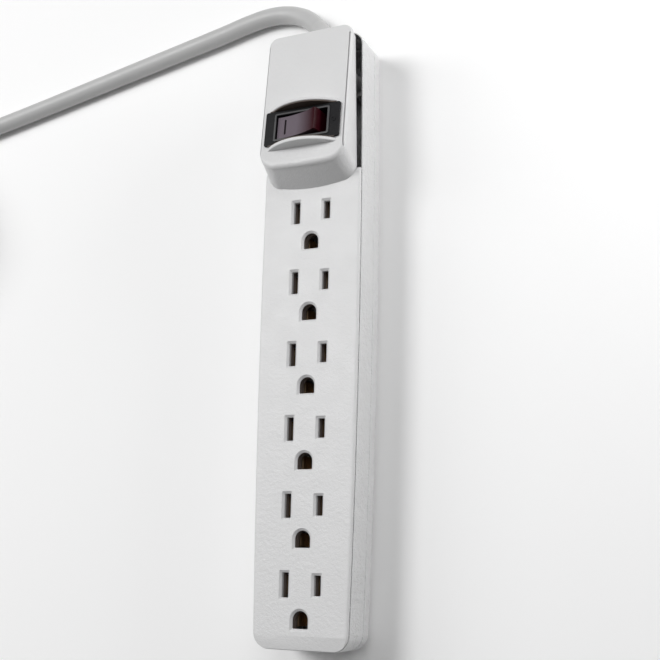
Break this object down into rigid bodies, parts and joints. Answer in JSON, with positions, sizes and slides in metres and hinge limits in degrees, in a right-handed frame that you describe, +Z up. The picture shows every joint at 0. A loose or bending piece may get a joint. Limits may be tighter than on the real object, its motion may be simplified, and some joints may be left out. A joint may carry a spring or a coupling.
{
  "type": "power strip",
  "caption": "Slim outlet strip with grounded receptacles in a row, a wedge housing with a lit rocker switch between arched guards, and a coiled grounded cord.",
  "frame": {"origin": "under the middle of the strip's case, on the surface that the strip lies on", "axes": "+X across the strip, +Y along it towards the switch and the cord, +Z up out of the outlet face"},
  "size_m": [0.3238, 0.2649, 0.0396],
  "materials": {
    "case_white": "fine moulded texture, satin",
    "insulator_pale": "matt urea moulding",
    "switch_black": "satin nylon, lightly textured",
    "contact_brass": "rolled strip, unpolished",
    "blade_brass": "nickel-tinted plug blades, burnished",
    "screw_steel": "zinc plated",
    "cord_jacket": "soft PVC, satin",
    "cord_moulding": "moulded PVC, satin",
    "wire_black": "PVC insulation",
    "wire_white": "PVC insulation",
    "wire_green": "PVC insulation",
    "tie_fabric": "hook and loop strap",
    "rocker_smoke": "smoked translucent red polycarbonate",
    "lamp_glass": "neon lamp bulb"
  },
  "bodies": {
    "case": {"face_cover": "case_white", "side_frame": "case_white", "back_cover": "case_white", "contact_carrier": "insulator_pale", "case_screw_1": "screw_steel", "case_screw_2": "screw_steel", "case_screw_3": "screw_steel", "case_screw_4": "screw_steel", "case_screw_5": "screw_steel", "case_screw_6": "screw_steel", "neutral_bus_bar": "contact_brass", "hot_bus_bar": "contact_brass", "ground_bus_bar": "contact_brass", "neutral_contact_1": "contact_brass", "neutral_contact_2": "contact_brass", "neutral_contact_3": "contact_brass", "neutral_contact_4": "contact_brass", "neutral_contact_5": "contact_brass", "neutral_contact_6": "contact_brass", "hot_contact_1": "contact_brass", "hot_contact_2": "contact_brass", "hot_contact_3": "contact_brass", "hot_contact_4": "contact_brass", "hot_contact_5": "contact_brass", "hot_contact_6": "contact_brass", "ground_contact_1": "contact_brass", "ground_contact_2": "contact_brass", "ground_contact_3": "contact_brass", "ground_contact_4": "contact_brass", "ground_contact_5": "contact_brass", "ground_contact_6": "contact_brass", "wire_line": "wire_black", "wire_load": "wire_black", "wire_neutral": "wire_white", "wire_ground": "wire_green", "switch_bezel": "switch_black", "switch_body": "switch_black", "terminal_line": "contact_brass", "terminal_load": "contact_brass", "terminal_lamp": "contact_brass", "strain_relief": "cord_moulding", "jacket_end": "cord_jacket", "cord_clamp": "insulator_pale", "clamp_screw_1": "screw_steel", "clamp_screw_2": "screw_steel", "cord": "cord_jacket", "cord_coil": "cord_jacket", "cord_tie": "tie_fabric", "plug_body": "cord_moulding", "plug_boot": "cord_moulding", "plug_line_blade": "blade_brass", "plug_neutral_blade": "blade_brass", "plug_ground_pin": "blade_brass"},
    "rocker": {"rocker": "rocker_smoke", "switch_plunger": "screw_steel", "plunger_spring": "screw_steel", "indicator_lamp": "lamp_glass"},
    "seesaw": {"seesaw_contact": "contact_brass"}
  },
  "joints": [
    {"name": "rocker_tilt", "type": "hinge", "parent": "case", "child": "rocker", "pos_m": [-0.0005, 0.07555, 0.0299], "axis": [0, 0.9952, -0.0975], "range_deg": [0, 25]},
    {"name": "seesaw_tilt", "type": "hinge", "parent": "case", "child": "seesaw", "pos_m": [-0.0005, 0.07465, 0.02074], "axis": [0, 0.9952, -0.0975], "range_deg": [-12, 0]}
  ],
  "couplings": [
    {"joint": "seesaw_tilt", "follows": "rocker_tilt", "ratio": -0.48}
  ]
}
